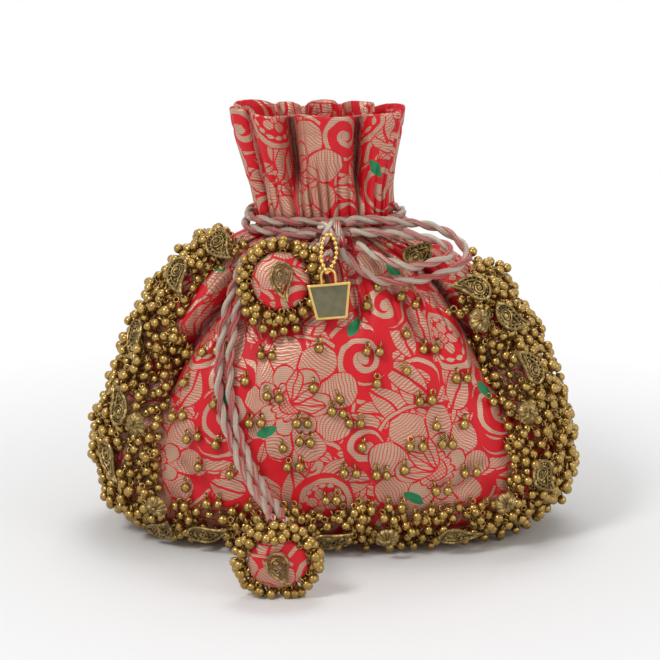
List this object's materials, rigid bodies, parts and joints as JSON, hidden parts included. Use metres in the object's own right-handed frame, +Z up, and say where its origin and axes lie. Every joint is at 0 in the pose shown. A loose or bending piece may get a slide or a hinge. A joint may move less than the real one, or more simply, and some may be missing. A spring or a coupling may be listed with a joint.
{
  "type": "drawstring potli bag",
  "caption": "Gathered brocade potli bag with a bell-covered gusset, twisted drawcord with handle loops, disc tassels and a small metal charm on a ball chain.",
  "frame": {"origin": "middle of the flat underside, on the table", "axes": "+X to the right of the front view, +Y towards the back, +Z up"},
  "size_m": [0.22, 0.1653, 0.198],
  "materials": {
    "brocade": "red satin ground with pinkish-gold woven flowers and scrolls",
    "lining_satin": "plain satin",
    "zari_cord": "twisted metallic and red threads",
    "antique_bells": "antique gold, satin",
    "antique_motifs": "dark antique gold",
    "polished_brass": "polished"
  },
  "bodies": {
    "bag": {"front_panel": "brocade", "back_panel": "brocade", "gusset": "brocade", "lining": "lining_satin", "bell_trim_base": "antique_bells", "bell_trim_left": "antique_bells", "bell_trim_right": "antique_bells", "paisley_plate_01": "antique_motifs", "paisley_plate_02": "antique_motifs", "paisley_plate_03": "antique_motifs", "paisley_plate_04": "antique_motifs", "paisley_plate_05": "antique_motifs", "paisley_plate_06": "antique_motifs", "paisley_plate_07": "antique_motifs", "paisley_plate_08": "antique_motifs", "paisley_plate_09": "antique_motifs", "paisley_plate_10": "antique_motifs", "paisley_plate_11": "antique_motifs", "paisley_plate_12": "antique_motifs", "paisley_plate_13": "antique_motifs", "paisley_plate_14": "antique_motifs", "shell_stud_1": "antique_motifs", "shell_stud_2": "antique_motifs", "shell_stud_3": "antique_motifs", "shell_stud_4": "antique_motifs", "shell_stud_5": "antique_motifs", "shell_stud_6": "antique_motifs", "neck_cord_lower": "zari_cord", "neck_cord_upper": "zari_cord", "knot": "zari_cord", "handle_loop_outer": "zari_cord", "handle_loop_inner": "zari_cord", "long_tassel_cord_left": "zari_cord", "long_tassel_cord_right": "zari_cord", "short_tassel_cord_left": "zari_cord", "short_tassel_cord_right": "zari_cord", "short_tassel_pad": "brocade", "short_tassel_bells": "antique_bells", "short_tassel_motif": "antique_motifs", "long_tassel_pad": "brocade", "long_tassel_bells": "antique_bells", "long_tassel_motif": "antique_motifs"},
    "chain": {"ball_chain": "polished_brass"},
    "charm": {"charm": "polished_brass"}
  },
  "joints": [
    {"name": "chain_lift", "type": "hinge", "parent": "bag", "child": "chain", "pos_m": [-0.0024, -0.03838, 0.1472], "axis": [-1, 0, 0], "range_deg": [0, 70]},
    {"name": "charm_swing", "type": "hinge", "parent": "chain", "child": "charm", "pos_m": [-0.0028, -0.04508, 0.1312], "axis": [0, -1, 0], "range_deg": [0, 60]}
  ]
}
